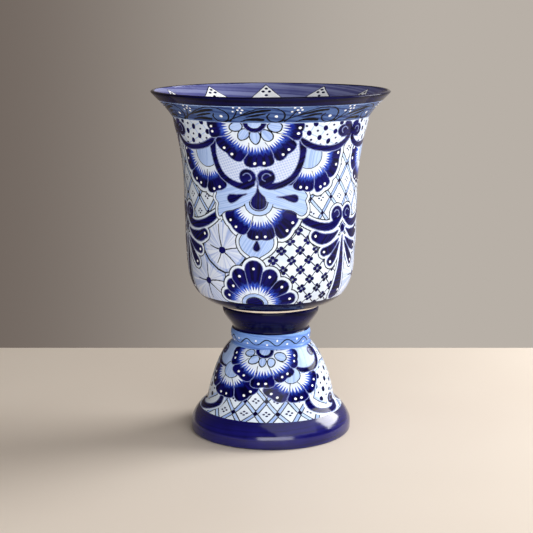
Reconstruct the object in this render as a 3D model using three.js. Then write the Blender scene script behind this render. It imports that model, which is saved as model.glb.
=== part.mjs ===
// A two-piece talavera pottery vase, in millimetres, +Z up.
// The origin is the centre of the foot, on the surface that the vase stands on.
// Both pieces are thrown on a wheel, so each one is a closed profile turned about the vertical axis:
//   pedestal  an open, hollow stand: wide rounded foot, bell, moulded ring, neck and flared collar
//   cup       a deep bowl with a flared rim, whose foot ring drops into the collar of the pedestal
import * as THREE from "three";

// ---- driving dimensions -------------------------------------------------------------------------
const TURN_STEPS = 64; // facets round the vase

const HEIGHT = 610; // foot to rim
const RIM_RADIUS = 208.5;
const LIP_RADIUS = 3.5; // the rounded edge of the rim
const WALL = 9; // thrown wall of both pieces

const SEAT_HEIGHT = 230; // the flat shelf of the cup, which rests on the collar
const SEAT_GAP = 0.3;
const SEAT_RADIUS = 88; // outer edge of the shelf
const SEAT_BEVEL = { out: 1, up: 3 }; // from the shelf's edge to the start of the side
const FOOT_RING = { top: 74, bottom: 69, inner: 60, depth: 16, draft: 4 }; // ring under the cup
const UNDERSIDE_LIFT = 1; // the underside within the ring lies a little above the shelf
const CUP_FLOOR = 12; // thickness of the cup's floor

const BELLY = { radius: 146, height: 292 }; // where the rounded base turns into the side
const WAIST = { radius: 152, height: 410 }; // the nearly straight side
const SHOULDER = { radius: 167.5, height: 545 }; // the side opens towards the rim
const RIM_BREAK = { radius: 171, height: 562 }; // the slight angle below the flared rim
const FLOOR_RADIUS = 60; // the flat middle of the cup's floor
// The inside turns a little below the outside's rim break, and a little above its belly.
const INNER_BREAK_DROP = 4;
const INNER_BELLY_RISE = 6;
// Each pair of points bends one stretch of the cup's profile.
const CUP_BENDS = {
  base: [[126, 240], [141, 263]],
  side: [[149.3, 312], [151.8, 360]],
  flare: [[152.2, 460], [156, 505]],
  rim: [[176.5, 575], [192.5, 588]],
  rimInside: [[184.5, 594], [166.5, 580]],
  flareInside: [[151.5, 525], [143.8, 480]],
  baseInside: [[131, 270], [102, 243]],
};

const COLLAR = { radius: 86.5, edge: 3.5, mouth: 77 }; // outer lip, its rounding, inner mouth
const NECK = { radius: 68, height: 190 };
const RING = { height: 26, bulge: 3.8 }; // moulded ring below the neck
const BELL_FOOT = { radius: 114, height: 62 }; // the bell ends where the rounded foot begins
const FOOT = { radius: 143.7, shoulder: 18, edge: 4, inner: 122, taper: 4 };
// Each pair of points bends one stretch of the pedestal's profile.
const PEDESTAL_BENDS = {
  foot: [[137, 44], [115.5, 53]],
  bell: [[105, 110], [87, 150]],
  neck: [[73, 201], [87.5, 214]],
  neckInside: [[76.5, 218], [66, 204]],
  bellInside: [[78, 144], [95, 108]],
  footInside: [[107, 50], [123, 40]],
};

// ---- profile tools ------------------------------------------------------------------------------
const point = (radius, height) => new THREE.Vector2(radius, height);

const bend = (from, pull1, pull2, to) =>
  new THREE.CubicBezierCurve(point(...from), point(...pull1), point(...pull2), point(...to));

const line = (from, to) => new THREE.LineCurve(point(...from), point(...to));

// An arc about a centre, from one angle to another in degrees, anticlockwise from straight out.
const arc = (centre, radius, fromDeg, toDeg) => {
  const radians = THREE.MathUtils.degToRad;
  const turnsBack = toDeg < fromDeg;
  return new THREE.EllipseCurve(
    ...centre, radius, radius, radians(fromDeg), radians(toDeg), turnsBack,
  );
};

// Joins the curves of a profile end to end; each entry is a curve and its number of steps.
function trace(stretches) {
  const outline = [];
  for (const [curve, steps] of stretches) {
    for (const next of curve.getPoints(steps)) {
      const last = outline.at(-1);
      if (!last || last.distanceTo(next) > 0.01) outline.push(next);
    }
  }
  return outline;
}

function turned(name, outline, look) {
  const shape = new THREE.LatheGeometry(outline, TURN_STEPS).rotateX(Math.PI / 2);
  const mesh = new THREE.Mesh(shape, new THREE.MeshStandardMaterial(look));
  mesh.name = name;
  return mesh;
}

// ---- the cup ------------------------------------------------------------------------------------
// The profile runs from the centre of the underside, out and up the outside, over the lip,
// and down the inside to the centre of the floor.
function cupOutline() {
  const lipHeight = HEIGHT - LIP_RADIUS;
  const underside = SEAT_HEIGHT + UNDERSIDE_LIFT;
  const floor = underside + CUP_FLOOR;
  const ringBottom = SEAT_HEIGHT - FOOT_RING.depth;
  const { radius: bellyR, height: bellyH } = BELLY;
  const { radius: waistR, height: waistH } = WAIST;
  const { radius: shoulderR, height: shoulderH } = SHOULDER;
  const { radius: breakR, height: breakH } = RIM_BREAK;
  const { inner: ringInner, bottom: ringOuter, top: ringTop, draft } = FOOT_RING;
  const socket = [ringInner - draft, underside]; // the hollow inside the ring narrows upwards
  const edge = [SEAT_RADIUS + SEAT_BEVEL.out, SEAT_HEIGHT + SEAT_BEVEL.up];
  const lipInner = RIM_RADIUS - 2 * LIP_RADIUS;
  const insideBreak = [breakR - WALL, breakH - INNER_BREAK_DROP];
  const insideBelly = [bellyR - WALL, bellyH + INNER_BELLY_RISE];

  return trace([
    [line([0, underside], socket), 1],
    [line(socket, [ringInner, ringBottom]), 1],
    [line([ringInner, ringBottom], [ringOuter, ringBottom]), 1],
    [line([ringOuter, ringBottom], [ringTop, SEAT_HEIGHT]), 1],
    [line([ringTop, SEAT_HEIGHT], [SEAT_RADIUS, SEAT_HEIGHT]), 1],
    [line([SEAT_RADIUS, SEAT_HEIGHT], edge), 1],
    [bend(edge, ...CUP_BENDS.base, [bellyR, bellyH]), 9],
    [bend([bellyR, bellyH], ...CUP_BENDS.side, [waistR, waistH]), 4],
    [bend([waistR, waistH], ...CUP_BENDS.flare, [shoulderR, shoulderH]), 5],
    [line([shoulderR, shoulderH], [breakR, breakH]), 1],
    [bend([breakR, breakH], ...CUP_BENDS.rim, [RIM_RADIUS, lipHeight]), 6],
    [arc([RIM_RADIUS - LIP_RADIUS, lipHeight], LIP_RADIUS, 0, 180), 4],
    [bend([lipInner, lipHeight], ...CUP_BENDS.rimInside, insideBreak), 4],
    [bend(insideBreak, ...CUP_BENDS.flareInside, [waistR - WALL, waistH]), 4],
    [line([waistR - WALL, waistH], insideBelly), 1],
    [bend(insideBelly, ...CUP_BENDS.baseInside, [FLOOR_RADIUS, floor]), 7],
    [line([FLOOR_RADIUS, floor], [0, floor]), 1],
  ]);
}

// ---- the pedestal -------------------------------------------------------------------------------
// The profile starts on the inner edge of the flat foot, runs out and up the outside,
// over the collar, down the inside, and closes where it began.
function pedestalOutline() {
  const collarTop = SEAT_HEIGHT - SEAT_GAP;
  const { radius: collarR, edge: collarEdge, mouth } = COLLAR;
  const { radius: neckR, height: neckTop } = NECK;
  const neckBottom = neckTop - RING.height;
  const ringMiddle = neckTop - RING.height / 2;
  const ringRadius = ((RING.height / 2) ** 2 + RING.bulge ** 2) / (2 * RING.bulge);
  const ringSweep = THREE.MathUtils.radToDeg(Math.asin(RING.height / 2 / ringRadius));
  const ringCentre = [neckR + RING.bulge - ringRadius, ringMiddle];
  const { radius: bellR, height: bellH } = BELL_FOOT;
  const { radius: footR, shoulder, edge: footEdge, inner: footInner, taper } = FOOT;

  return trace([
    [line([footInner, 0], [footR - footEdge, 0]), 1],
    [arc([footR - footEdge, footEdge], footEdge, -90, 0), 3],
    [line([footR, footEdge], [footR, shoulder]), 1],
    [bend([footR, shoulder], ...PEDESTAL_BENDS.foot, [bellR, bellH]), 7],
    [bend([bellR, bellH], ...PEDESTAL_BENDS.bell, [neckR, neckBottom]), 8],
    [arc(ringCentre, ringRadius, -ringSweep, ringSweep), 6],
    [bend([neckR, neckTop], ...PEDESTAL_BENDS.neck, [collarR, collarTop - collarEdge]), 6],
    [arc([collarR - collarEdge, collarTop - collarEdge], collarEdge, 0, 90), 3],
    [line([collarR - collarEdge, collarTop], [mouth, collarTop]), 1],
    [bend([mouth, collarTop], ...PEDESTAL_BENDS.neckInside, [neckR - WALL, neckTop]), 4],
    [line([neckR - WALL, neckTop], [neckR - WALL, neckBottom]), 1],
    [bend([neckR - WALL, neckBottom], ...PEDESTAL_BENDS.bellInside, [bellR - WALL, bellH]), 5],
    [bend([bellR - WALL, bellH], ...PEDESTAL_BENDS.footInside, [footInner + taper, shoulder]), 4],
    [line([footInner + taper, shoulder], [footInner, 0]), 1],
  ]);
}

// ---- the vase -----------------------------------------------------------------------------------
const vase = new THREE.Group();
vase.add(turned("cup", cupOutline(), { color: 0x3a4a9c, roughness: 0.12, metalness: 0 }));
vase.add(turned("pedestal", pedestalOutline(), { color: 0x1b1a66, roughness: 0.1, metalness: 0 }));

export default vase;
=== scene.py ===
"""A two-piece talavera vase, painted and glazed around its packed cup and pedestal.

Each glazed wall is unrolled into a flat sheet and painted there, as the potter's painter works:
x runs round the vase, in millimetres at the sheet's own radius, and y runs up the wall, in
millimetres along its profile. Every pigment keeps a signed depth at each point of a fine grid,
above 0 inside the paint, so the material can draw a sharp edge between two grid points.
Lengths are in millimetres until a mesh is made in metres.
"""
from math import acos, atan2, cos, degrees, hypot, pi, radians, sin, sqrt

import bpy
import numpy as np
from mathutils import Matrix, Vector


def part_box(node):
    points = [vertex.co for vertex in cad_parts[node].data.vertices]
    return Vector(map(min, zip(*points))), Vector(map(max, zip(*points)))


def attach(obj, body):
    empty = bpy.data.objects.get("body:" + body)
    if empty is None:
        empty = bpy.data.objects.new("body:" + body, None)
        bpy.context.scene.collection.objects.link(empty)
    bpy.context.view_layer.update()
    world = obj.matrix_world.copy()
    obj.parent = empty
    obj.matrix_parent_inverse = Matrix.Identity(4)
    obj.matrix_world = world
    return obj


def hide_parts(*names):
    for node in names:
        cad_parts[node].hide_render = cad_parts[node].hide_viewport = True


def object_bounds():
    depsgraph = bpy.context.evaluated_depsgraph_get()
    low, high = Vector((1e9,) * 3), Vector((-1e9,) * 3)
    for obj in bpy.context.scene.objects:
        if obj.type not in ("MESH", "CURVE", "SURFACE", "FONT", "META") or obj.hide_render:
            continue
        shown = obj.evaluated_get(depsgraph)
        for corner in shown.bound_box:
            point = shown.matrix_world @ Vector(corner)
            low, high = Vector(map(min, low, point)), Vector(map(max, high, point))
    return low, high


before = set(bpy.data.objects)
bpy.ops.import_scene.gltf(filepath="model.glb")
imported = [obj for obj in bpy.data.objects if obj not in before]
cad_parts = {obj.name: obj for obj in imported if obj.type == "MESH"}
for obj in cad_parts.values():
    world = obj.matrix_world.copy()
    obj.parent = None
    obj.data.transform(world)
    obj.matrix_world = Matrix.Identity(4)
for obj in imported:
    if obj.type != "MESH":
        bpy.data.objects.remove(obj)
cad_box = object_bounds()

MM = 0.001
STEP = 0.9  # grid spacing of a painted wall
PLAIN_STEP = 2.6  # grid spacing of a wall of one colour
FAR = 4.0  # depth at which a pigment counts as far inside or far outside
SWAY = 3.0  # more than the painter's unsteady hand ever moves a point
ALL_ROUND = 900.0  # past both ends of any sheet
PIGMENTS = ("pale", "cobalt", "navy", "halo", "line", "slip")

CUP_RADIUS = 150.0  # the sheet of the cup is measured at this radius
CUP_PERIOD = 329.0  # width of one repeat on the sheet
CUP_SHARES = (125.7, 117.15, 117.15)  # degrees that each repeat takes: the painter's spacing drifts
CUP_AXIS = radians(-8.4)  # the main column of flowers stands left of the front
BELL_RADIUS = 90.0
BELL_REPEATS = 2
BELL_PERIOD = 2 * pi * BELL_RADIUS / BELL_REPEATS
BELL_SHARES = (180, 180)
BELL_AXIS = radians(-7.0)

# Heights of the cup's painting, which starts a little above the edge of its base.
CUP_RISE = 3.2
BASE_TOP, BODY_TOP, STEEL_TOP = 44.0, 360.8, 398.3
RIM_DEPTH = 70.0  # how far down the inside the painting of the rim goes
# Heights along the pedestal's profile, from the floor up to the collar.
FOOT_TOP, BELL_TOP, RING_TOP = 52.0, 183.0, 212.0


# ---- the profiles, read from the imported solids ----
def outline_of(node):
    """A turned solid's outline as (radius, height), from its lowest outer corner up the outside."""
    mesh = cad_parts[node].data
    spot = {}
    for index, vertex in enumerate(mesh.vertices):
        x, y, z = (value / MM for value in vertex.co)
        if abs(x) < 0.02 and y < 0.02:
            spot[index] = (round(-y, 1), round(z, 1))
    beside = {}
    for edge in mesh.edges:
        a, b = (spot.get(index) for index in edge.vertices)
        if a and b and a != b:
            beside.setdefault(a, set()).add(b)
            beside.setdefault(b, set()).add(a)
    lowest = min(height for _, height in beside)
    here = max(p for p in beside if p[1] == lowest)
    path, ahead = [here], max(beside[here], key=lambda p: p[1])
    while ahead and ahead != path[0]:
        path.append(ahead)
        onward = [p for p in beside[ahead] if p not in path[-2:]]
        ahead = onward[0] if onward else None
    return np.array(path)


def spline(points, per_span):
    """A Catmull-Rom curve through points, whatever their number of columns."""
    points = np.asarray(points, float)
    before, after = 2 * points[0] - points[1], 2 * points[-1] - points[-2]
    padded = np.vstack([before, points, after])
    t = np.linspace(0, 1, per_span, endpoint=False)[:, None]
    spans = []
    for a, b, c, d in zip(padded, padded[1:], padded[2:], padded[3:]):
        spans.append(b + 0.5 * t * (c - a + t * (2 * a - 5 * b + 4 * c - d
                                                 + t * (3 * (b - c) + d - a))))
    return np.vstack(spans + [points[-1:]])


class Profile:
    """A smooth stretch of a turned outline, measured by the length along it."""

    def __init__(self, points):
        curve = spline(points, 12)
        self.along = np.r_[0, np.cumsum(np.hypot(*np.diff(curve, axis=0).T))]
        self.radius, self.height = curve.T
        self.length = self.along[-1]

    def at(self, along):
        return np.interp(along, self.along, self.radius), np.interp(along, self.along, self.height)


def between(path, start, stop):
    """The corners of an outline from the one nearest start to the one nearest stop."""
    first, last = (int(np.hypot(*(path - end).T).argmin()) for end in (start, stop))
    return path[first:last + 1]


def profiles():
    """The stretches of both outlines that the glaze covers, and the bare clay ones."""
    cup, stand = outline_of("cup"), outline_of("pedestal")
    rim, collar = cup[cup[:, 1].argmax()], stand[stand[:, 1].argmax()]
    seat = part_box("pedestal")[1].z / MM
    cup_edge = cup[np.flatnonzero(cup[:, 1] > seat + 1)[0]]
    floor_edge = cup[-2]
    foot_inner = stand[-1]
    return {
        "cup_outside": Profile(between(cup, cup_edge, rim)),
        "cup_inside": Profile(between(cup, rim, floor_edge)),
        "cup_floor": Profile(between(cup, floor_edge, cup[-1])),
        "cup_base": Profile(between(cup, cup[0], cup_edge)),
        "stand_outside": Profile(between(stand, stand[0], collar)),
        "stand_inside": Profile(between(stand, collar, foot_inner)),
    }


# ---- shapes a brush makes ----
class Shape:
    """A painted shape: its box on the sheet, and its depth inside the edge at any points."""

    def __init__(self, low, high, depth):
        self.low, self.high = np.asarray(low, float), np.asarray(high, float)
        self.depth = depth

    def grown(self, by):
        return Shape(self.low - by, self.high + by, lambda x, y: self.depth(x, y) + by)

    def edge(self, width):
        return Shape(self.low - width, self.high + width,
                     lambda x, y: width / 2 - np.abs(self.depth(x, y)))

    def inside(self, other):
        return Shape(np.maximum(self.low, other.low), np.minimum(self.high, other.high),
                     lambda x, y: np.minimum(self.depth(x, y), other.depth(x, y)))


def patch(corners):
    """The inside of a closed outline."""
    corners = np.asarray(corners, float)

    def depth(x, y):
        nearest = np.full(x.shape, 1e9)
        inside = np.zeros(x.shape, bool)
        for (ax, ay), (bx, by) in zip(corners, np.roll(corners, -1, 0)):
            ex, ey, px, py = bx - ax, by - ay, x - ax, y - ay
            share = np.clip((px * ex + py * ey) / (ex * ex + ey * ey + 1e-9), 0, 1)
            nearest = np.minimum(nearest, (px - share * ex) ** 2 + (py - share * ey) ** 2)
            crosses = (y >= ay) != (y >= by)
            inside ^= crosses & (px * ey < py * ex) if by > ay else crosses & (px * ey > py * ex)
        return np.where(inside, 1, -1) * np.sqrt(nearest)

    return Shape(corners.min(0), corners.max(0), depth)


def stroke(points, per_span=5):
    """A brush stroke through (x, y, half width) points."""
    path = spline(points, per_span) if len(points) > 2 else np.asarray(points, float)
    widest = path[:, 2].max()

    def depth(x, y):
        best = np.full(x.shape, -1e9)
        for (ax, ay, aw), (bx, by, bw) in zip(path, path[1:]):
            ex, ey, px, py = bx - ax, by - ay, x - ax, y - ay
            share = np.clip((px * ex + py * ey) / (ex * ex + ey * ey + 1e-9), 0, 1)
            off = np.hypot(px - share * ex, py - share * ey)
            best = np.maximum(best, aw + share * (bw - aw) - off)
        return best

    return Shape(path[:, :2].min(0) - widest, path[:, :2].max(0) + widest, depth)


def dot(x, y, radius, tall=None):
    """A round or oval touch of the brush."""
    tall = tall or radius
    mean = sqrt(radius * tall)

    def depth(px, py):
        return (1 - np.hypot((px - x) / radius, (py - y) / tall)) * mean

    return Shape((x - radius, y - tall), (x + radius, y + tall), depth)


def block(left, low, right, high):
    """The inside of an upright rectangle."""
    return patch([(left, low), (right, low), (right, high), (left, high)])


def rounded(corners, per_span=6):
    """A closed outline with its corners smoothed into curves."""
    corners = np.asarray(corners, float)
    loop = np.vstack([corners[-1:], corners, corners[:2]])
    return patch(spline(loop, per_span)[per_span:-per_span - 1])


def polar(x, y, reach, heading, widen=1.0):
    """The place at some distance from a point, in a direction given in degrees."""
    turn = radians(heading)
    return x + widen * reach * cos(turn), y + reach * sin(turn)


def mirrored(points, sign, middle=0.0):
    """Points given for the right side, or their mirror image about a middle line."""
    points = np.array(points, float)
    points[:, 0] = middle + sign * (points[:, 0] - middle)
    return points


# ---- the sheet ----
def wander(seed, size, waves, spacing, count=9):
    """A smooth, seamless wobble over a wall, of angle and length along the profile."""
    draw = np.random.default_rng(seed)
    turns = draw.integers(waves[0], waves[1], count)
    pace = draw.uniform(2 * pi / spacing[1], 2 * pi / spacing[0], count)
    phase = draw.uniform(0, 2 * pi, (2, count))

    def wobble(angle, along):
        total = 0
        for k, w, p, q in zip(turns, pace, *phase):
            total = total + np.cos(k * angle + p) * np.cos(w * along + q)
        return size * total / sqrt(count)

    return wobble


DRIFT = [wander(seed, 1.0, (3, 14), (60, 160)) for seed in (11, 12)]
TREMOR = [wander(seed, 0.22, (60, 130), (7, 16)) for seed in (13, 14)]
THROWN = wander(21, 0.35, (2, 9), (50, 200))  # the wall's own unevenness


class Sheet:
    """A stretch of wall, unrolled, with the depth of every pigment at each point of its grid."""

    def __init__(self, profile, ends, turns=(-pi, pi), radius=CUP_RADIUS, step=STEP,
                 axis=0.0, rise=0.0, columns=None):
        rows = max(2, round((ends[1] - ends[0]) / step) + 1)
        columns = columns or round((turns[1] - turns[0]) * radius / step) + 1
        self.profile, self.radius = profile, radius
        self.along = np.linspace(*ends, rows) + rise
        self.turn = np.linspace(*turns, columns)
        angle, along = np.meshgrid(self.turn, self.along)
        self.plain_x = (self.turn - axis) * radius
        self.plain_y = self.along - rise
        self.x = (angle - axis) * radius + DRIFT[0](angle, along) + TREMOR[0](angle, along)
        self.y = along - rise + DRIFT[1](angle, along) + TREMOR[1](angle, along)
        self.paint = {name: np.full(angle.shape, -FAR) for name in PIGMENTS}
        self.hair = np.full(angle.shape, 0.5)
        self.shade = np.zeros(angle.shape)

    def window(self, shape):
        """The part of the grid that a shape can reach, or None."""
        low, high = shape.low - FAR - SWAY, shape.high + FAR + SWAY
        columns = np.searchsorted(self.plain_x, (low[0], high[0]))
        rows = np.searchsorted(self.plain_y, (low[1], high[1]))
        if columns[0] == columns[1] or rows[0] == rows[1]:
            return None
        return slice(*rows), slice(*columns)

    def lay(self, shape, pigment=None, hair=None, shade=0.0):
        """Paints a shape over what is there. No pigment leaves the bare ground."""
        view = self.window(shape)
        if view is None:
            return
        x, y = self.x[view], self.y[view]
        depth = np.clip(shape.depth(x, y), -FAR, FAR)
        for name, field in self.paint.items():
            if name == pigment:
                field[view] = np.maximum(field[view], depth)
            else:
                field[view] = np.minimum(field[view], -depth)
        if hair is not None:
            self.hair[view] = np.where(depth > -0.4, hair(x, y), self.hair[view])
        if pigment is None:
            self.shade[view] = np.where(depth > 0, shade, self.shade[view])

    def wash(self, shape, pigment):
        """Adds a thin coat of a pigment, with all that is below it showing through."""
        view = self.window(shape)
        if view is not None:
            depth = np.clip(shape.depth(self.x[view], self.y[view]), -FAR, FAR)
            self.paint[pigment][view] = np.maximum(self.paint[pigment][view], depth)

    def raised(self, radius, *places):
        """Raised dots of white slip."""
        for x, y in places:
            self.lay(dot(x, y, radius), "slip")


# ---- brush hair marks ----
def marks(seed, pitch, count=4096):
    """Random light and dark hair marks along one direction, as a function of the distance across."""
    values = np.random.default_rng(seed).uniform(0, 1, count)

    def at(across):
        place = np.asarray(across) / pitch
        index = np.floor(place).astype(int)
        share = place - index
        share = share * share * (3 - 2 * share)
        return values[index % count] * (1 - share) + values[(index + 1) % count] * share

    return at


def wound_marks(radius, count, seed, pitch):
    """Hair marks that climb round a wall and meet themselves again after a whole turn."""
    draw = marks(seed, pitch, count)
    climb = count * pitch / (2 * pi * radius)
    return lambda px, py: draw(py + climb * px + 1.6 * np.sin(3 * px / radius))


def radial_marks(x, y, seed, pitch_degrees):
    """Hair marks that run out from a point."""
    draw = marks(seed, pitch_degrees)
    return lambda px, py: draw(np.degrees(np.arctan2(py - y, px - x)) + 400)


def hairs(angle, seed, pitch=1.3):
    """Hair marks that run in one direction, given in degrees."""
    draw = marks(seed, pitch)
    c, s = cos(radians(angle)), sin(radians(angle))
    return lambda px, py: draw(c * py - s * px + 900 + 0.8 * np.sin(px * 0.09 + py * 0.05))


def crossed_marks(spacing):
    """A fine hatch of thin light lines that cross."""
    k = pi / spacing

    def at(px, py):
        one, other = np.cos(k * (px + 0.45 * py)), np.cos(k * (py - 0.3 * px))
        return np.maximum(one ** 12, other ** 12)

    return at


# ---- the flowers ----
TOOTH, TOOTH_PITCH = 15.0, 4.3  # length and spacing of the white spikes in a petal
TEETH = 512  # random teeth drawn for a fringe, more than go round any flower
REACH = 150.0  # from a flower's heart to beyond its petals
FADE = 8.0  # width of the streaky change from cobalt to navy


def inked(sheet, shape, rays=None, pigment="navy"):
    """A brush stroke of strong colour, with the thin pale edge that parts it from the next one."""
    sheet.lay(shape.grown(0.9), "halo")
    sheet.lay(shape.grown(-0.3), pigment, rays)


def outlined(sheet, shape, pigment, hair=None, line=1.5, trim=0.0):
    """A shape in one pigment, closed by a thin black line."""
    sheet.lay(shape.grown(line), "line")
    sheet.lay(shape.grown(-trim), pigment, hair)


def margin(sheet, shape, width):
    """A white margin round a shape, closed by a thin black line."""
    outlined(sheet, shape.grown(width), None, line=1.9)


def scallops(x, y, petals, widen):
    """The outline of a fan of petals, each (from degrees, to degrees, reach, lobes)."""
    corners = [(x, y)]
    for start, stop, reach, lobes in petals:
        for t in np.linspace(0, 1, 22):
            low = 0.05 + 0.09 * abs(2 * t - 1) ** 3
            bump = abs(sin(pi * lobes * t)) ** 0.5
            r = reach * (1 - low * (1 - bump))
            corners.append(polar(x, y, r, start + (stop - start) * t, widen))
    return patch(corners)


def beyond(x, y, radius, tooth, pitch, seed, widen):
    """All that lies further from a point than a radius, behind a fringe of long pointed teeth."""
    draw = np.random.default_rng(seed)
    heights, leans = draw.uniform(0.55, 1.0, TEETH), draw.uniform(0.35, 0.65, TEETH)
    slope = 2 * tooth / (radius * radians(pitch))
    softness = 1 / hypot(1, 0.6 * slope)

    def depth(px, py):
        dx, dy = (px - x) / widen, py - y
        place = np.degrees(np.arctan2(dy, dx)) / pitch + 200
        index = np.floor(place).astype(int)
        share, lean = place - index, leans[index % TEETH]
        comb = np.minimum(share / lean, (1 - share) / (1 - lean))
        r = np.hypot(dx, dy)
        return softness * (r - radius + tooth * heights[index % TEETH] * (comb - 0.5))

    return Shape((x - REACH, y - REACH), (x + REACH, y + REACH), depth)


def fading(x, y, radius, width, rays, widen):
    """All that lies further from a point than a radius, by a gradual and streaky change."""
    def depth(px, py):
        r = np.hypot((px - x) / widen, py - y)
        return 0.6 * (r - radius) / width + 0.7 * (rays(px, py) - 0.5)

    return Shape((x - REACH, y - REACH), (x + REACH, y + REACH), depth)


def feathered(sheet, whole, x, y, white, cobalt, seed, widen=1.0):
    """Fills a shape from white at the heart through cobalt to navy, each with a hairy edge."""
    pitch = degrees(TOOTH_PITCH / white)
    rays = radial_marks(x, y, seed, pitch * 0.4)
    sheet.lay(whole, None, rays)
    sheet.lay(beyond(x, y, white, TOOTH, pitch, seed, widen).inside(whole), "cobalt", rays)
    sheet.wash(fading(x, y, cobalt, FADE, rays, widen).inside(whole), "navy")


def flower(sheet, x, y, petals, white, cobalt, seed, widen=1.0, dot_inset=6.5, inner=None,
           dot_radius=2.2):
    """A fan of scalloped petals, with thin dividers and two raised dots in each petal."""
    whole = scallops(x, y, petals, widen)
    sheet.lay(whole.grown(1.0), "halo")
    feathered(sheet, whole, x, y, white, cobalt, seed, widen)
    near, half = inner or white * 0.8, (white + cobalt) / 2
    for (_, edge, reach, _), (_, _, reach_on, _) in zip(petals, petals[1:]):
        far = 0.87 * min(reach, reach_on)
        for start, stop, pigment in ((near, half, "line"), (half, far, "halo")):
            path = []
            for t in (0, 0.5, 1):
                r = start + (stop - start) * t
                bow = 2.5 * sin(pi * (r - near) / (far - near))
                path.append((*polar(x, y, r, edge + bow, widen), 0.65))
            sheet.lay(stroke(path), pigment)
    for start, stop, reach, lobes in petals:
        for share in (0.36, 0.64) if lobes == 2 else (0.5,):
            heading = start + (stop - start) * share
            sheet.raised(dot_radius, polar(x, y, reach - dot_inset, heading, widen))


def leaf_ring(sheet, petals, seed):
    """Pale petals with black outlines, each (x, y, half length, half width, turn in degrees)."""
    for number, (x, y, long, wide, turn) in enumerate(petals):
        c, s = cos(radians(turn)), sin(radians(turn))
        corners = []
        for t in np.linspace(0, 2 * pi, 26)[:-1]:
            px, py = long * cos(t), wide * sin(t) * (1 + 0.18 * cos(t))
            corners.append((x + c * px - s * py, y + s * px + c * py))
        outlined(sheet, patch(corners), "pale", hairs(turn, seed + number), 1.1, 0.8)


def eye(sheet, x, y, pale, ring, widen, seed):
    """A pale disc inside a navy ring."""
    inked(sheet, dot(x, y, ring * widen, ring), hairs(40, seed))
    sheet.lay(dot(x, y, pale * widen, pale), "pale", hairs(70, seed + 1))


def pale_heart(sheet, x, y, radius, seed, widen=1.0):
    """The pale half disc in the middle of a fan, with its black outline."""
    sheet.lay(dot(x, y, (radius + 1.4) * widen, radius + 1.4), "line")
    sheet.lay(dot(x, y, radius * widen, radius), "pale", hairs(85, seed))


def scroll(sheet, path, blob, coil, sign, hair, path_hair, trim=0.4, lead=60, sweep=170):
    """A brushed scroll that ends in a round blob, with a thin pale line coiled inside the blob."""
    inked(sheet, blob, hair)
    inked(sheet, stroke(path), path_hair)
    sheet.lay(blob.grown(-trim), "navy")
    points = []
    for t in np.linspace(0, 1, 8):
        heading = 90 + sign * ((lead + sweep) * t - lead)
        place = polar(*(blob.low + blob.high) / 2, coil * (1.08 - 0.42 * t), heading)
        points.append((*place, 0.75))
    sheet.lay(stroke(points), "halo")


# ---- the grounds behind the flowers ----
CELL = 34.0  # more than the length of any lattice cell


def crossings(zone, a, b, origin):
    """The crossing places of a skewed lattice near a zone, each with its two counts."""
    a, b, origin = (np.array(v, float) for v in (a, b, origin))
    for i in range(-30, 31):
        for j in range(-30, 31):
            x, y = origin + i * a + j * b
            if np.all((x, y) > zone.low - CELL) and np.all((x, y) < zone.high + CELL):
                yield i, j, x, y


def lattice(sheet, zone, places, steps, half_width, pigment):
    """Thin straight lines from each crossing to the next ones."""
    for _, _, x, y in places:
        for dx, dy in steps:
            link = stroke([(x, y, half_width), (x + dx, y + dy, half_width)])
            sheet.lay(link.inside(zone), pigment)


def blossom_ground(sheet, zone):
    """White ground crossed by thin lines, with a small four-petalled blossom at each crossing."""
    a, b, origin = (17.2, -17.0), (14.2, 17.0), (39.8, 143.8)
    places = list(crossings(zone, a, b, origin))
    sheet.lay(zone)
    lattice(sheet, zone, places, (a, b), 0.9, "line")
    for i, j, x, y in places:
        twist = 10 * sin(i * 5.1 + j * 3.7)
        for quarter in range(4):
            petal = dot(*polar(x, y, 4.9, 90 * quarter + twist, 1.02), 3.6, 3.4)
            sheet.lay(petal.inside(zone), "navy", hairs(30, 61))
        sheet.lay(dot(x, y, 1.3, 1.2).inside(zone), "halo")


def ribbon_ground(sheet, zone, a, b, origin, band=2.6, node=3.3, cluster=4.0):
    """Crossing pale ribbons with black edges, navy squares on them, four dots in each cell."""
    places = list(crossings(zone, a, b, origin))
    sheet.lay(zone)
    for step, tone in ((b, 0.75), (a, 0.2)):
        for _, _, x, y in places:
            path = [(x, y), (x + step[0], y + step[1])]
            wide = stroke([(px, py, band + 0.8) for px, py in path])
            thin = stroke([(px, py, band - 0.8) for px, py in path])
            sheet.lay(wide.inside(zone), "line")
            sheet.lay(thin.inside(zone), "pale", lambda px, py: tone + 0 * px)
    for _, _, x, y in places:
        square = patch([(x + node, y), (x, y + 1.2 * node), (x - node, y), (x, y - 1.2 * node)])
        sheet.lay(square.grown(0.8).inside(zone), "navy")
        cx, cy = x + (a[0] + b[0]) / 2, y + (a[1] + b[1]) / 2
        for quarter in range(4):
            spot = dot(*polar(cx, cy, 0.9 * cluster, 90 * quarter + 8, 1.11), 2.0, 1.6)
            sheet.lay(spot.inside(zone), "navy")


def spotted_ground(sheet, zone, sign, origin):
    """White ground with thin pale lines, large navy spots at their crossings and small between."""
    a, b = (18.0 * sign, -8.0), (10.6 * sign, 15.8)
    places = list(crossings(zone, a, b, origin))
    sheet.lay(zone)
    lattice(sheet, zone, places, (a, b), 0.8, "pale")
    for i, j, x, y in places:
        lean = 0.5 * sin(3.1 * i + 1.7 * j)
        sheet.lay(dot(x + lean, y, 4.1, 4.7).inside(zone), "navy")
        cx, cy = x + (a[0] + b[0]) / 2, y + (a[1] + b[1]) / 2
        sheet.lay(dot(cx, cy - lean, 2.1, 1.9).inside(zone), "navy")


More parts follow.
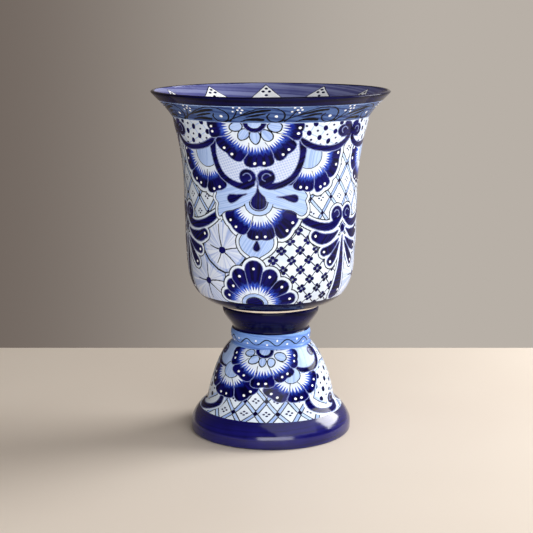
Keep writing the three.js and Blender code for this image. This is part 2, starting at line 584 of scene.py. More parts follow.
def web_cell(sheet, zone, x, y, spokes, border, number):
    """A washed cell with a navy spot, curved black spokes, and a blue shadow by its border."""
    streaks = radial_marks(x, y, 70 + number, 3.2)
    cell = patch(border)
    sheet.lay(cell.inside(zone), None, lambda px, py: 0.3 + 0.65 * streaks(px, py), shade=1.0)
    sheet.lay(cell.edge(11.0).inside(cell).inside(zone), None,
              lambda px, py: 0.6 * streaks(px, py), shade=1.0)
    sheet.lay(cell.edge(1.9).inside(zone), "line")
    for heading, reach in spokes:
        path = [(*polar(x, y, r, heading + bow), w)
                for r, bow, w in ((5, 0, 1.2), (reach * 0.55, 2.3, 0.95), (reach, 0, 0.7))]
        sheet.lay(stroke(path).inside(zone), "line")
    sheet.lay(dot(x, y, 6.6, 6.0).inside(zone), "navy")


# ---- the cup's painting, one repeat of it ----
PALM = 162.5  # from the main column to the palm column on its right
LEFT_PALM = PALM - CUP_PERIOD


def grounds(sheet):
    """White blossom lattice, washed webs and ribbon lattice, in turn between the columns."""
    low = BASE_TOP - 6
    for left, right in ((LEFT_PALM - 40, LEFT_PALM), (-12, PALM)):
        blossom_ground(sheet, block(left, low, right, 204))
    for left, right in ((LEFT_PALM, -12), (PALM, PALM + 40)):
        zone = block(left, low, right, 206)
        sheet.lay(zone, None, hairs(80, 63, 2.4), shade=1.0)
        shift = left - LEFT_PALM
        for number, (x, y, spokes, border) in enumerate(WEB):
            placed = [(px + shift, py) for px, py in border]
            web_cell(sheet, zone, x + shift, y, spokes, placed, number)
    for left, right in ((LEFT_PALM - 40, -52), (52, PALM + 40)):
        a, b = (18.6, 26.5), (CUP_PERIOD / 8 - 18.6, -26.5)
        ribbon_ground(sheet, block(left, 190, right, 345), a, b, (131, 231))


WEB = (
    (-64.5, 142, ((98, 44), (165, 26), (247, 26), (318, 34), (10, 30)),
     [(-108, 180), (-106, 142), (-92, 121), (-74, 107), (-58, 102), (-40, 108), (-22, 130),
      (-20, 180), (-40, 206), (-80, 206)]),
    (-101, 84, ((88, 32), (4, 36), (176, 30), (268, 34), (322, 40)),
     [(-164, 150), (-166, 84), (-164, 38), (-150, 30), (-66, 30), (-60, 60), (-60, 101),
      (-75, 106), (-93, 120), (-108, 140), (-130, 156)]),
)


PALM_SWAG = ((-93, 204, 4.0), (-84, 196, 6.0), (-72, 188.5, 6.5), (-58.5, 183, 6.6),
             (-45, 180, 6.6), (-32, 180, 6.6), (-20, 184, 6.6), (-7.6, 195, 6.4))
PALM_STEM = (0, 160, 1.4), (0, 133, 4.6), (-1.5, 100, 8.2), (-3, 72, 11.6), (-4, 58, 13.4)


def palm_drops(spread):
    """The three drops left of a palm's stem, with the lower two spread out from it."""
    return (((-62.7, 166, 8.4), (-50, 160.5, 9.2), (-35, 160.5, 7.8), (-22.5, 164.5, 4.5),
             (-12, 170.5, 1.3)),
            ((-39.5 - spread, 137, 7.6), (-29 - 0.7 * spread, 140, 7.2),
             (-19 - 0.3 * spread, 147, 4.8), (-10, 156, 1.2)),
            ((-25.7 - 1.2 * spread, 122 - 0.8 * spread, 7.6),
             (-18.5 - 0.8 * spread, 129 - 0.4 * spread, 6.8),
             (-12.5 - 0.3 * spread, 139, 4.2), (-7.5, 150, 1.2)))


def palm(sheet, x, spread):
    """The palm column between two main columns: scrolls, three drops a side and a long stem."""
    def side(points, sign=1):
        return mirrored(points, sign) + (x, 0, 0)

    drops = palm_drops(spread)
    leaves = [stroke(side(points, sign)) for points in drops for sign in (-1, 1)]
    leaves.append(stroke(side(PALM_STEM)))
    swags = [side(PALM_SWAG, sign) for sign in (-1, 1)]
    blobs = [dot(x - sign * 15, 199, 14.4) for sign in (-1, 1)]
    for grow, pigment in ((6.1, "line"), (4.2, None)):
        for shape in [stroke(swag) for swag in swags] + blobs + leaves:
            sheet.lay(shape.grown(grow), pigment)
    for number, (swag, blob, sign) in enumerate(zip(swags, blobs, (1, -1))):
        scroll(sheet, swag, blob, 7.6, sign, hairs(25, 181), hairs(10, 182 + number), trim=0.3)
    for number, shape in enumerate(leaves):
        inked(sheet, shape, hairs(30 + 25 * number, 184 + number))
    for (px, py, _), *_ in drops:
        sheet.raised(2.3, (x + px, py), (x - px, py))
    inked(sheet, dot(x, 173.5, 6.4, 7.4))
    sheet.raised(2.3, (x + 4, 63))


def onion(sheet):
    """The pale bulb below the middle fan, and the white margin that the fan shares with it."""
    margin(sheet, scallops(*MIDDLE, MIDDLE_PETALS, 1.0), 5.5)
    body = rounded([(-3.5, 129.5), (-14, 135.5), (-26, 144), (-31, 154), (-28.5, 165), (-16, 176),
                    (16, 176), (26, 166), (26.5, 153), (20, 143), (8, 135)], 5)
    margin(sheet, body, 5.8)
    outlined(sheet, body, "pale", hairs(60, 151))
    inked(sheet, stroke([(-1.2, 162, 0.7), (-1.2, 155.5, 3.4), (-1.2, 148.6, 6.4)]))


MIDDLE = 2.2, 226.0  # the heart of the fan that hangs between the wings
MIDDLE_PETALS = (192, 249, 64, 2), (249, 298, 65, 2), (298, 346, 73, 2)


def middle_fan(sheet):
    flower(sheet, *MIDDLE, MIDDLE_PETALS, 36, 44, seed=141, inner=24.5)


RIGHT_WING = ((1, 262), (2.5, 250), (6.5, 237), (16, 225.5), (29.5, 217.5), (46, 213.8),
              (59.5, 210.5), (73, 202.5), (82, 207), (83.5, 219), (80.5, 228), (83.5, 236),
              (79, 244), (86, 254), (60, 262), (30, 262))
LEFT_WING = ((0, 262), (-1.5, 250), (-5.5, 238.5), (-13.8, 227), (-24, 220), (-40.5, 214),
             (-58.5, 209), (-69, 200), (-72, 212), (-70, 222), (-75.5, 230), (-72, 240),
             (-76, 252), (-60, 262), (-30, 262))


def wings(sheet):
    """Pale leaves that spread below the scrolls, with a navy drop in each."""
    for outline, sign in ((RIGHT_WING, 1), (LEFT_WING, -1)):
        shape = rounded(outline, 4)
        outer = block(sign * 66, 190, sign * 100, 270)
        sheet.lay(shape.grown(6.6).inside(outer), "line")
        sheet.lay(shape.grown(5.2).inside(outer))
        outlined(sheet, shape, "pale", hairs(90 + 72 * sign, 131))
    inked(sheet, stroke([(33, 234.6, 0.6), (43, 234, 2.2), (53, 232.8, 5.4), (61, 232, 7.4)]))
    inked(sheet, stroke([(-18.8, 240, 0.6), (-28, 237, 2.2), (-37.5, 233, 5.2), (-45.5, 231, 7.2)]))


SIDE_FLOWERS = (
    (84.5, 303, ((-150, -120, 60, 1), (-120, -78, 60, 2), (-78, -45, 65, 2), (-45, 30, 62, 2),
                 (30, 60, 62, 1))),
    (-90, 304, ((120, 150, 60, 1), (150, 218, 60, 2), (218, 268, 61, 2), (268, 308, 66, 2),
                (308, 330, 60, 1))),
)


def side_flowers(sheet):
    for number, (x, y, petals) in enumerate(SIDE_FLOWERS):
        flower(sheet, x, y, petals, 34, 42.5, seed=111 + 7 * number, dot_inset=6.0)
        pale_heart(sheet, x, y, 21.2, 118)


def side_margins(sheet):
    for x, y, petals in SIDE_FLOWERS:
        margin(sheet, scallops(x, y, petals, 1.0), 5.8)


def c_scrolls(sheet):
    """The pair of navy C scrolls below the top flower, and the pale fields that they hold."""
    for sign in (-1, 1):
        field = rounded(mirrored([(0, 254), (0, 300), (30, 345), (62, 345), (70, 300), (64, 274),
                                  (45, 257), (20, 254)], sign))
        hatch = crossed_marks(4.6)
        sheet.lay(field, None, lambda x, y: 0.34 + 0.5 * hatch(x, y), shade=1.0)
    for sign in (-1, 1):
        body = mirrored([(66, 338, 3.0), (70.5, 327, 5.4), (73, 314, 5.2), (72.8, 300, 5.0),
                         (68, 283.6, 5.0), (58.5, 268.6, 5.0), (45, 258.6, 5.2),
                         (32, 253.6, 5.6), (20, 253.6, 6.2), (9.5, 259, 6.2)], sign)
        rays = hairs(25, 122, 2.2)
        scroll(sheet, body, dot(sign * 15.2, 267.8, 14.2), 7.8, sign, rays, rays, trim=0.6)


def middle_drop(sheet):
    """The navy drop that hangs between the wings, in its pale crescent."""
    x, y = MIDDLE
    below = patch([(-34, 190), (38, 190), (34, 219), (2.2, 234), (-30, 219)])
    sheet.lay(dot(x, y, 24.4, 23.2).inside(below), "line")
    sheet.lay(dot(x, y, 22.9, 21.7).inside(below), "pale", hairs(0, 142))
    sheet.lay(dot(x, y, 16.2, 15.6).inside(below), "line")
    drop = stroke([(1, 268, 0.8), (1, 256, 0.9), (1, 248, 1.9), (1.2, 241, 4.4), (1.7, 234, 8.4),
                   (2.2, 226.5, 13.6)])
    inked(sheet, drop, hairs(90, 143))


BOTTOM_PETALS = ((56, 57, 11.8), (-57, 62, 12.0), (41, 80, 13.2), (-45.5, 81, 13.2),
                 (19.5, 98, 14.0), (-32, 98, 14.2), (-7, 112.5, 15.2))


def bottom_flower(sheet):
    """The flower that rises from the base band: seven round petals about a navy eye."""
    x, y, widen = -8.5, 46.0, 1.15
    petals = []
    for px, py, size in BOTTOM_PETALS:
        near = (x + 0.3 * (px - x), y + 0.3 * (py - y), size * 0.45)
        petals.append(stroke([near, (px, py, size)]))
    for grow, pigment in ((7.0, "line"), (5.1, None)):
        for petal in petals:
            sheet.lay(petal.grown(grow), pigment)
    for number, (petal, (px, py, size)) in enumerate(zip(petals, BOTTOM_PETALS)):
        sheet.lay(petal.grown(1.0), "halo")
        feathered(sheet, petal, x, y, 31, 41, 160 + 3 * number, widen)
        sheet.raised(2.3, (px + 0.02 * (px - x), py + 0.02 * (py - y)))
    sheet.lay(dot(x, y, 22.4 * widen, 22.2), "line")
    sheet.lay(dot(x, y, 21.1 * widen, 20.9), "pale", hairs(20, 163))
    sheet.lay(dot(x, y, 15.2 * widen, 15.0), "line")
    sheet.lay(dot(x, y, 13.4 * widen, 13.2), "navy")


SWAG_START = 74.0  # from here on, the upper swag stretches to reach the palm's axis


def upper_swag(sheet, sign):
    """The spotted ground at the top, and the navy swag that runs under it into a hook."""
    edge = PALM if sign > 0 else -LEFT_PALM
    fit = (edge - SWAG_START) / (PALM - SWAG_START)

    def fitted(points):
        points = np.array(points, float)
        points[:, 0] += (fit - 1) * np.maximum(points[:, 0] - SWAG_START, 0)
        return mirrored(points, sign)

    zone = patch(fitted([(60, BODY_TOP + 8), (62, 332), (84, 320), (112, 313), (140, 318),
                         (160, 336), (163, BODY_TOP + 8)]))
    spotted_ground(sheet, zone, sign, (sign * 78.8, 343.0))
    swag = [(67, 334, 2.0), (74, 327.5, 4.4), (86, 321, 4.8), (99.5, 317, 4.8), (113, 314.8, 4.8),
            (126, 314.6, 4.8), (139.5, 317, 4.8), (151, 323.5, 4.8), (158, 333.5, 4.6),
            (160.5, 346, 4.4), (156, 355, 4.2), (148, 357, 4.0)]
    blob = dot(*fitted([(145.5, 343.5)])[0], 14.0 * fit, 11.5)
    scroll(sheet, fitted(swag), blob, 7.0, sign, hairs(50, 171), hairs(10, 172), lead=70, sweep=150)


def top_flower(sheet):
    x, y = -1.2, BODY_TOP + 1.2
    petals = [(178, 204, 77, 2), (204, 254, 74.5, 2), (254, 294, 77, 2), (294, 332, 75.5, 2),
              (332, 362, 73, 2)]
    flower(sheet, x, y, petals, 47, 55.5, seed=101, inner=37)
    leaf_ring(sheet, ((x - 28.8, 354.5, 10.5, 8.0, 12), (x + 29.2, 354.5, 10.5, 8.0, -12),
                      (x - 17.5, 340.5, 10.5, 8.2, 52), (x + 18.2, 340.5, 10.5, 8.2, -52),
                      (x + 0.2, 336, 11.5, 8.2, 90)), 31)
    eye(sheet, x, y, 10.2, 17.4, 1.0, 41)


def paint_cup_repeat(sheet):
    """One repeat of the cup's painting, from the grounds forward to the flowers."""
    grounds(sheet)
    side_margins(sheet)
    palm(sheet, PALM, 4)
    palm(sheet, LEFT_PALM, 10)
    onion(sheet)
    middle_fan(sheet)
    wings(sheet)
    side_flowers(sheet)
    c_scrolls(sheet)
    middle_drop(sheet)
    bottom_flower(sheet)
    for sign in (-1, 1):
        upper_swag(sheet, sign)
    top_flower(sheet)


# ---- the rim band, the lip and the inside of the cup ----
VINE = (
    ((-71, 2, 1.1), (-60, 8, 1.0), (-46, 16, 1.0), (-34, 25, 1.0), (-21, 32, 1.0), (-8, 35.5, 1.0),
     (4, 33, 1.1), (12.5, 25, 1.2), (15, 14, 1.3), (11, 5, 1.2), (3, 1.5, 1.0)),
    ((-6, 20, 1.1), (-9, 13, 1.2), (-5.5, 5, 1.1), (2, 2, 0.8)),
    ((15, 3, 1.2), (22, 12, 1.1), (27.5, 22, 1.0), (30, 29, 0.8)),
    ((-5, 29, 2.0), (-17, 27, 3.0), (-31, 22, 2.2), (-44, 16, 0.8)),
    ((-12, 20, 1.6), (-24, 17, 2.4), (-38, 12.5, 0.8)),
    ((-15, 7, 2.8), (-25, 8, 3.2), (-37, 7, 1.9), (-47, 3, 0.8)),
)
VINE_SPRAY = (27, 35), (35, 35), (31.5, 29.5), (37.5, 29.5), (24, 25.5), (34.5, 23)
VINES, ARCHES = 12, 11  # how many go round the rim


def paint_steel_band(sheet):
    """Black vines on a slate-blue band, each with a pale berry and a spray of white dots."""
    pitch = 2 * pi * CUP_RADIUS / VINES
    for number in range(-7, 8):
        x = number * pitch + 3.9
        for points in VINE:
            sheet.lay(stroke(np.add(points, (x, BODY_TOP, 0))), "line")
        sheet.lay(dot(x + 3.5, BODY_TOP + 14, 2.3, 2.7), "slip")
        sheet.raised(1.7, *np.add(VINE_SPRAY, (x, BODY_TOP)))
    for height in (BODY_TOP, STEEL_TOP):
        sheet.lay(block(-ALL_ROUND, height - 0.9, ALL_ROUND, height + 0.9), "pale")


def paint_inner_rim(sheet):
    """White pointed arches with dark spots, round the inside of the flared rim."""
    arch = [(0, 8), (4.5, 16), (12, 27), (23, 40), (34, 52), (24, 61), (0, 65), (-24, 61),
            (-34, 52), (-23, 40), (-12, 27), (-4.5, 16)]
    first = (pi + 0.046) * CUP_RADIUS
    for number in range(-ARCHES - 1, 2):
        x = first + number * 2 * pi * CUP_RADIUS / ARCHES
        outlined(sheet, patch(np.add(arch, (x, 0))), "slip", line=0.9, trim=0.5)
        for px, py in ((-4.6, 25.5), (4.6, 25.5), (0, 18), (0, 34.5)):
            sheet.lay(dot(x + px, py, 2.6, 2.7), "navy")
    sheet.lay(block(-ALL_ROUND, -9, ALL_ROUND, 3), "navy")


# ---- the pedestal's painting, one repeat of it ----
SEAM = BELL_PERIOD / 2  # the axis half way between two hanging flowers of the bell


def bell_sides(sheet, sign, middle):
    """A scroll with its pale field, a spotted leaf, and a swag, beside the hanging flower."""
    def side(points):
        return mirrored(points, sign, middle)

    leaf = patch(side([(91, 132), (86, 110), (78.5, 89), (90, 80), (104, 72), (112, 82),
                       (126, 90), (SEAM + 9, 90), (SEAM + 9, 147), (122, 147), (104, 139)]))
    sheet.lay(leaf.grown(6.0))
    outlined(sheet, leaf, "pale", line=1.2, trim=0.3)
    spotted_ground(sheet, leaf.grown(-2.6), sign, tuple(side([(115, 116)])[0]))
    swag = side([(65, 98, 3.6), (68, 83, 4.6), (74.4, 72.5, 4.8), (84.3, 64.5, 4.8),
                 (97.3, 59.8, 4.8), (110.4, 58.5, 4.8), (121, 62, 4.6), (128, 69, 4.2)])
    blob = dot(*side([(120.5, 77)])[0], 10.5, 9.6)
    for shape in (stroke(swag), blob):
        sheet.lay(shape.grown(4.0))
    scroll(sheet, swag, blob, 5.4, sign, hairs(20, 201), hairs(10, 202))
    field = rounded(side([(52, 190), (50, 158), (62, 146), (81, 143), (98, 147), (110, 157),
                          (116, 170), (112, 190)]))
    path = side([(50, 152, 2.0), (63, 143, 4.2), (81, 139.8, 4.6), (97, 142.8, 4.8),
                 (110, 150.5, 4.8), (118.5, 161, 4.8), (120.5, 172, 4.6), (115, 180, 4.2)])
    blob = dot(*side([(106.5, 169.5)])[0], 10.4, 9.0)
    sheet.lay(field, "pale", hairs(80, 203))
    sheet.lay(stroke(path).grown(2.6))
    sheet.lay(field.grown(-1.0), "pale", hairs(80, 203))
    scroll(sheet, path, blob, 5.2, sign, hairs(20, 204), hairs(10, 205))


BELL_FANS = (
    (-61, 140, 1.1, ((180, 236, 50, 2), (236, 288, 51, 2), (288, 337, 57, 2)), 14.6),
    (45.6, 134.5, 1.1, ((206, 257, 50, 2), (257, 300, 48, 2), (300, 362, 45, 2)), 13.6),
)


def paint_bell_repeat(sheet):
    """One repeat of the bell: a hanging flower between fans and scrolls, on ribbon lattice."""
    low, high, wide = FOOT_TOP - 5, BELL_TOP + 5, SEAM + 30
    ribbon_ground(sheet, block(-wide, low, wide, high), (15.7, 23),
                  (BELL_PERIOD / 9 - 15.7, -23), (5, 91), band=2.8, node=3.4, cluster=3.8)
    x, y, widen = -1.6, 181.0, 1.18
    for sign in (-1, 1):
        bell_sides(sheet, sign, x)
    for number, (fx, fy, fan_widen, petals, heart) in enumerate(BELL_FANS):
        flower(sheet, fx, fy, petals, 26, 32, seed=211 + 5 * number, widen=fan_widen,
               dot_inset=6.5, inner=heart + 1, dot_radius=2.0)
        pale_heart(sheet, fx, fy, heart, 213, fan_widen)
    petals = [(178, 214, 63, 2), (214, 253.6, 63, 2), (253.6, 285.5, 67, 2), (285.5, 321, 62, 2),
              (321, 362, 60, 2)]
    flower(sheet, x, y, petals, 42, 49, seed=221, widen=widen, inner=31, dot_inset=7.5,
           dot_radius=2.0)
    leaf_ring(sheet, ((-32, 174.5, 10, 7.0, 6), (29.5, 170, 11, 8.0, -16),
                      (-21, 162, 10.5, 7.2, 28), (-4.1, 158.5, 8.2, 6.9, 90),
                      (12.3, 159, 8.2, 6.9, 84)), 51)
    eye(sheet, x, y, 8.8, 14.6, 1.28, 43)


def paint_ring(sheet):
    """A black wave round the pale blue ring, with white dots above and below it by turns."""
    radius = sheet.radius
    span = np.linspace(-pi - 0.1, pi + 0.1, 240)
    middle = (BELL_TOP + RING_TOP) / 2
    wave = [(t * radius, middle + 0.4 + 5.4 * cos(12 * (t + 0.1)), 1.0) for t in span]
    sheet.lay(stroke(wave, per_span=2), "line")
    for number in range(-13, 14):
        t = number * pi / 12 - 0.1
        up = -3.2 if number % 2 == 0 else 4.0
        sheet.raised(1.8, (t * radius, middle + up))


# ---- meshes ----
SLIP_RELIEF, LINE_RELIEF = 0.55, 0.10  # how far raised dots and black lines stand out
AXIS_CALM = 60.0  # within this radius the wall's unevenness fades out towards the axis


def surface(name, sheet):
    """A mesh of one sheet, wrapped back round the vase, with its paint as named attributes."""
    angle, along = np.meshgrid(sheet.turn, sheet.along)
    radius, height = sheet.profile.at(along)
    step = 0.4  # for the wall's slope
    r1, z1 = sheet.profile.at(along + step)
    r0, z0 = sheet.profile.at(along - step)
    length = np.hypot(r1 - r0, z1 - z0) + 1e-9
    out, up = (z1 - z0) / length, -(r1 - r0) / length
    lift = THROWN(angle, height) * np.clip(radius / AXIS_CALM, 0, 1)
    lift = lift + SLIP_RELIEF * np.clip(sheet.paint["slip"] / 1.6, 0, 1)
    lift = lift + LINE_RELIEF * np.clip(sheet.paint["line"] / 0.5 + 1, 0, 1)
    radius, height = radius + lift * out, np.maximum(height + lift * up, 0)
    places = np.stack([radius * np.sin(angle), -radius * np.cos(angle), height], -1) * MM
    rows, columns = angle.shape
    closed = abs(sheet.turn[-1] - sheet.turn[0] - 2 * pi) < 1e-6
    kept = columns - 1 if closed else columns
    index = np.arange(rows * kept).reshape(rows, kept)
    east = np.roll(index, -1, 1) if closed else index[:, 1:]
    west = index if closed else index[:, :-1]
    quads = np.stack([west[:-1], east[:-1], east[1:], west[1:]], -1).reshape(-1, 4)
    mesh = bpy.data.meshes.new(name)
    mesh.vertices.add(rows * kept)
    mesh.vertices.foreach_set("co", places[:, :kept].astype(np.float32).ravel())
    mesh.loops.add(quads.size)
    mesh.loops.foreach_set("vertex_index", quads.astype(np.int32).ravel())
    mesh.polygons.add(len(quads))
    mesh.polygons.foreach_set("loop_start", np.arange(0, quads.size, 4, dtype=np.int32))
    mesh.polygons.foreach_set("use_smooth", np.ones(len(quads), bool))
    fields = dict(sheet.paint, hair=sheet.hair, shade=sheet.shade)
    for field, values in fields.items():
        layer = mesh.attributes.new(field, "FLOAT", "POINT")
        layer.data.foreach_set("value", values[:, :kept].astype(np.float32).ravel())
    mesh.update(calc_edges=True)
    mesh.validate()
    piece = bpy.data.objects.new(name, mesh)
    bpy.context.scene.collection.objects.link(piece)
    return piece


def place(piece, body, slot, material):
    piece.data.materials.append(material)
    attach(piece, body)


# ---- materials ----
def linear(red, green, blue):
    """A colour given as 0 to 255 screen values."""
    def curve(value):
        value /= 255
        return value / 12.92 if value < 0.04045 else ((value + 0.055) / 1.055) ** 2.4
    return curve(red), curve(green), curve(blue), 1.0


# Most coats have a dark and a light colour, and the hair marks run between the two.
WHITE = linear(205, 216, 232), linear(226, 235, 246)
SHADED = linear(146, 167, 218), linear(218, 225, 240)
PALE = linear(150, 175, 226), linear(177, 200, 240)
COBALT = linear(16, 30, 134), linear(68, 104, 216)
NAVY = linear(4, 3, 36), linear(12, 11, 88)
# The darkest navy, of the lip, the base band and the rim; on the collar it is partly painted shade
# under the cup.
DEEP_NAVY = linear(3, 3, 24), linear(9, 9, 62)
FOOT_NAVY = linear(10, 8, 56), linear(20, 17, 98)
HALO = (linear(96, 108, 168),) * 2
LINE = (linear(9, 10, 20),) * 2
SLIP = linear(244, 246, 249)
STEEL = linear(42, 62, 116), linear(76, 102, 154)
SKY = linear(98, 132, 204), linear(128, 164, 224)
PERIWINKLE = linear(80, 82, 138), linear(128, 133, 178)
WORN = linear(206, 196, 184), linear(224, 216, 204)
CLAY = linear(232, 221, 206), linear(212, 198, 180)


class Nodes:
    """A small helper that builds the node tree of a material or a world."""

    def __init__(self, owner):
        owner.use_nodes = True
        self.owner, self.tree = owner, owner.node_tree
        self.tree.nodes.clear()

    def add(self, kind, **settings):
        node = self.tree.nodes.new(kind)
        for key, value in settings.items():
            setattr(node, key, value)
        return node

    def link(self, source, target):
        if isinstance(source, (int, float, tuple)):
            target.default_value = source
        else:
            self.tree.links.new(source, target)

    def math(self, operation, *values):
        node = self.add("ShaderNodeMath", operation=operation)
        for value, socket in zip(values, node.inputs):
            self.link(value, socket)
        return node.outputs[0]

    def mix(self, share, low, high):
        node = self.add("ShaderNodeMix", data_type="RGBA")
        for value, socket in ((share, 0), (low, 6), (high, 7)):
            self.link(value, node.inputs[socket])
        return node.outputs[2]

    def ramp(self, value, low, high, to_low=0.0, to_high=1.0):
        node = self.add("ShaderNodeMapRange", interpolation_type="SMOOTHSTEP")
        for item, socket in zip((value, low, high, to_low, to_high), node.inputs):
            self.link(item, socket)
        return node.outputs[0]

    def noise(self, scale, detail=2.0):
        node = self.add("ShaderNodeTexNoise")
        node.inputs["Scale"].default_value = scale
        node.inputs["Detail"].default_value = detail
        self.link(self.add("ShaderNodeTexCoord").outputs["Object"], node.inputs["Vector"])
        return node.outputs[0]

    def field(self, name):
        return self.add("ShaderNodeAttribute", attribute_name=name).outputs["Fac"]

    def finish(self, colour, roughness, height, bump=0.2, specular=0.3):
        shader = self.add("ShaderNodeBsdfPrincipled")
        self.link(colour, shader.inputs["Base Color"])
        self.link(roughness, shader.inputs["Roughness"])
        shader.inputs["IOR"].default_value = 1.5
        shader.inputs["Specular IOR Level"].default_value = specular
        relief = self.add("ShaderNodeBump")
        relief.inputs["Strength"].default_value = bump
        relief.inputs["Distance"].default_value = MM
        self.link(height, relief.inputs["Height"])
        self.link(relief.outputs[0], shader.inputs["Normal"])
        self.link(shader.outputs[0], self.add("ShaderNodeOutputMaterial").inputs[0])
        return self.owner


EDGE = 0.3  # half the width, in depth, of the blur at a pigment's edge


def glaze(name, ground, navy=NAVY, specular=0.1, gloss=(0.06, 0.13)):
    """Painted gloss glaze. ground is the pair of colours where no pigment lies."""
    n = Nodes(bpy.data.materials.new(name))
    cloud, grit = n.noise(38.0, 3.0), n.noise(900.0, 2.0)
    ragged = n.math("MULTIPLY", n.math("SUBTRACT", grit, 0.5), 0.6)
    streak = n.ramp(n.field("hair"), 0.1, 0.9)
    body = n.ramp(n.math("ADD", n.math("MULTIPLY", streak, 0.75), n.math("MULTIPLY", cloud, 0.5)),
                  0.15, 1.0)
    colour = n.mix(body if ground is not WHITE else n.ramp(cloud, 0.3, 0.75), *ground)
    colour = n.mix(n.field("shade"), colour, n.mix(streak, *SHADED))
    coats = {"pale": PALE, "cobalt": COBALT, "navy": navy, "halo": HALO, "line": LINE}
    for pigment, tones in coats.items():
        cover = n.ramp(n.math("ADD", n.field(pigment), ragged), -EDGE, EDGE)
        colour = n.mix(cover, colour, n.mix(body, *tones))
    colour = n.mix(n.ramp(n.field("slip"), -EDGE, EDGE), colour, SLIP)
    roughness = n.ramp(cloud, 0.2, 0.8, *gloss)
    height = n.math("ADD", n.math("MULTIPLY", grit, 0.10), n.math("MULTIPLY", n.noise(160.0), 0.5))
    return n.finish(colour, roughness, height, bump=0.12, specular=specular)


def bare_clay(name):
    n = Nodes(bpy.data.materials.new(name))
    cloud, grit = n.noise(60.0, 4.0), n.noise(1400.0, 3.0)
    colour = n.mix(n.ramp(n.math("ADD", cloud, n.math("MULTIPLY", grit, 0.5)), 0.4, 1.1), *CLAY)
    roughness = n.ramp(grit, 0.2, 0.8, 0.7, 0.9)
    return n.finish(colour, roughness, grit, bump=0.5)


# ---- the pieces ----
def painted_wall(name, node, profile, ends, axis, shares, period, step, paint, look, rise=0.0):
    """A wall painted the same way several times round, as two pieces for each repeat."""
    columns = round(period / 2 / step) + 1
    middle = axis
    for number, share in enumerate(shares):
        half = radians(share) / 2
        if number:
            middle += radians(shares[number - 1]) / 2 + half
        for side, word in ((-1, "left"), (1, "right")):
            turns = sorted((middle, middle + side * half))
            sheet = Sheet(profile, ends, turns, period / 2 / half, step, middle, rise, columns)
            paint(sheet)
            piece = surface(f"{name}_{number + 1}_{word}", sheet)
            place(piece, node, "painted_glaze", look)
            if number == 0 and side == 1:
                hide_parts(node)


def plain_wall(name, node, profile, ends, look, slot="painted_glaze", step=PLAIN_STEP,
               radius=CUP_RADIUS, pigment=None, seed=301, edge=0.0):
    """A band all round in one pigment, or in the ground colour of its glaze."""
    sheet = Sheet(profile, ends, radius=radius, step=step)
    draw = marks(seed, 2.2)
    sheet.hair = 0.3 + 0.4 * draw(sheet.y + 50 + 4 * np.sin(2 * sheet.x / radius + seed))
    if pigment:
        sheet.lay(block(-ALL_ROUND, ends[0] + edge, ALL_ROUND, ALL_ROUND), pigment)
    place(surface(name, sheet), node, slot, look)


def painted_band(name, node, profile, ends, paint, look, hair, **grid):
    """A band painted all round as one piece, over hair marks wound round the wall."""
    sheet = Sheet(profile, ends, **grid)
    sheet.hair = wound_marks(sheet.radius, *hair)(sheet.x, sheet.y)
    paint(sheet)
    place(surface(name, sheet), node, "painted_glaze", look)


def build_cup(shape, looks):
    outside, inside = shape["cup_outside"], shape["cup_inside"]
    floor, under = shape["cup_floor"], shape["cup_base"]
    painted_wall("cup_wall", "cup", outside, (BASE_TOP, BODY_TOP), CUP_AXIS, CUP_SHARES,
                 CUP_PERIOD, STEP, paint_cup_repeat, looks["painted"], CUP_RISE)
    plain_wall("cup_base_band", "cup", outside, (0, BASE_TOP + CUP_RISE), looks["worn"],
               pigment="navy", edge=2.6)
    painted_band("cup_rim_band", "cup", outside, (BODY_TOP, STEEL_TOP), paint_steel_band,
                 looks["steel"], (60, 302, 2.6), rise=CUP_RISE)
    plain_wall("cup_lip", "cup", outside, (STEEL_TOP + CUP_RISE, outside.length), looks["steel"],
               step=1.5, pigment="navy", seed=303, edge=0.9)
    painted_band("cup_inner_rim", "cup", inside, (0, RIM_DEPTH), paint_inner_rim,
                 looks["periwinkle"], (40, 304, 3.2))
    plain_wall("cup_inner_wall", "cup", inside, (RIM_DEPTH, inside.length), looks["periwinkle"],
               step=3.2, seed=305)
    plain_wall("cup_inner_floor", "cup", floor, (0, floor.length), looks["periwinkle"],
               radius=60, seed=306)
    plain_wall("cup_underside", "cup", under, (0, under.length), looks["clay"], radius=80,
               step=2.0)


def build_pedestal(shape, looks):
    outside, inside = shape["stand_outside"], shape["stand_inside"]
    plain_wall("pedestal_foot", "pedestal", outside, (0, FOOT_TOP), looks["foot"], "navy_glaze",
               step=2.0, radius=130, pigment="navy", seed=311, edge=-9)
    painted_wall("pedestal_bell", "pedestal", outside, (FOOT_TOP, BELL_TOP), BELL_AXIS,
                 BELL_SHARES, BELL_PERIOD, 0.85, paint_bell_repeat, looks["painted"])
    painted_band("pedestal_ring", "pedestal", outside, (BELL_TOP, RING_TOP), paint_ring,
                 looks["sky"], (20, 312, 2.0), radius=70)
    # The collar takes the darkest navy, partly as its own glaze and partly as painted shade under
    # the cup's overhang.
    plain_wall("pedestal_collar", "pedestal", outside, (RING_TOP, outside.length), looks["navy"],
               "navy_glaze", radius=75, step=1.6, pigment="navy", seed=313, edge=-9)
    plain_wall("pedestal_inside", "pedestal", inside, (0, inside.length), looks["clay"],
               "navy_glaze", radius=90)


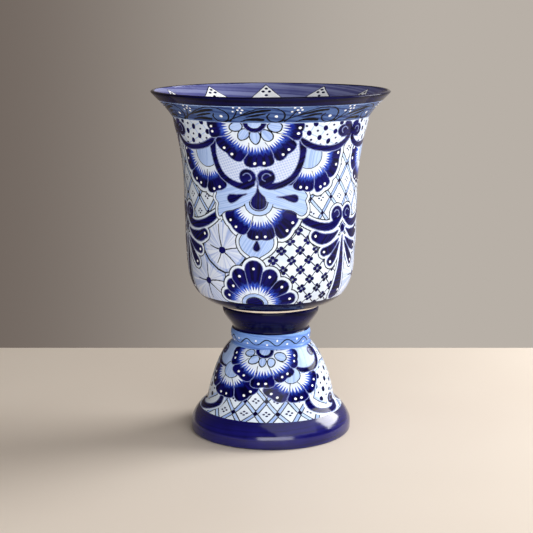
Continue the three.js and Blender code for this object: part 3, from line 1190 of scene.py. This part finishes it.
# ---- the studio ----
def studio():
    """A pale floor, a plain grey surround, soft light, and the camera."""
    height = cad_box[1][2]
    floor_mesh = bpy.data.meshes.new("studio_floor")
    back, wide, near = 0.58, 3.0, -2.6
    corners = [(-wide, near, 0), (wide, near, 0), (wide, back, 0), (-wide, back, 0)]
    floor_mesh.from_pydata(corners, [], [(0, 1, 2, 3)])
    floor = bpy.data.objects.new("studio_floor", floor_mesh)
    bpy.context.scene.collection.objects.link(floor)
    n = Nodes(bpy.data.materials.new("studio_floor"))
    cloud = n.noise(1.5, 2.0)
    colour = n.mix(n.ramp(cloud, 0.2, 0.8), linear(218, 205, 191), linear(224, 212, 198))
    floor_mesh.materials.append(n.finish(colour, 0.6, cloud, bump=0.02))

    surround()
    softbox("key", (2.2, 0.72, 1.35), (0, 0, 0.2), (1.5, 1.2), 80)
    softbox("fill", (0.3, -2.7, 0.6), (0, 0, 0.35), (2.6, 1.2), 60)
    softbox("top", (1.3, -1.4, 2.2), (0.2, -0.2, 0), (3.4, 3.0), 36)

    camera_data = bpy.data.cameras.new("camera")
    camera_data.sensor_width = 36.0
    camera_data.lens = 94.05
    camera_data.shift_x = -0.0079
    camera = bpy.data.objects.new("camera", camera_data)
    distance, rise, look_down = 4.0 * height, 1.249 * height, 10.816
    camera.location = (0, -distance, rise)
    camera.rotation_euler = (radians(90 - look_down), 0, 0)
    bpy.context.scene.collection.objects.link(camera)
    bpy.context.scene.camera = camera
    bpy.context.scene.view_settings.view_transform = "Standard"


def surround():
    """A grey wall all round, darker to the left and dim on the camera's side of the room."""
    n = Nodes(bpy.data.worlds.new("surround"))
    towards = n.add("ShaderNodeSeparateXYZ")
    n.link(n.add("ShaderNodeTexCoord").outputs["Generated"], towards.inputs[0])
    left, right = linear(112, 102, 95), linear(184, 176, 167)
    wall = n.mix(n.ramp(towards.outputs["X"], -0.22, 0.12), left, right)
    room = n.mix(n.ramp(towards.outputs["Y"], 0.0, 0.7), linear(70, 68, 66), wall)
    background = n.add("ShaderNodeBackground")
    n.link(room, background.inputs[0])
    n.link(background.outputs[0], n.add("ShaderNodeOutputWorld").inputs[0])
    bpy.context.scene.world = n.owner


def softbox(name, spot, target, size, power):
    light = bpy.data.lights.new(name, "AREA")
    light.shape, light.energy = "RECTANGLE", power
    light.size, light.size_y = size
    lamp = bpy.data.objects.new(name, light)
    aim = np.array(target) - np.array(spot)
    lamp.location = spot
    yaw = atan2(aim[1], aim[0]) - pi / 2
    tilt = acos(-aim[2] / np.linalg.norm(aim))
    lamp.rotation_euler = (tilt, 0, yaw)
    bpy.context.scene.collection.objects.link(lamp)


def main():
    shape = profiles()
    looks = {
        "painted": glaze("painted_glaze", WHITE),
        # On the collar this navy is partly painted shade from the cup that overhangs it.
        "navy": glaze("navy_glaze", WHITE, DEEP_NAVY),
        "foot": glaze("foot_glaze", WHITE, FOOT_NAVY, specular=0.5, gloss=(0.1, 0.2)),
        "steel": glaze("slate_blue_glaze", STEEL, DEEP_NAVY),
        "sky": glaze("sky_blue_glaze", SKY),
        "periwinkle": glaze("periwinkle_glaze", PERIWINKLE, DEEP_NAVY),
        "worn": glaze("wiped_edge", WORN, DEEP_NAVY),
        "clay": bare_clay("bare_clay"),
    }
    build_cup(shape, looks)
    build_pedestal(shape, looks)
    studio()


main()
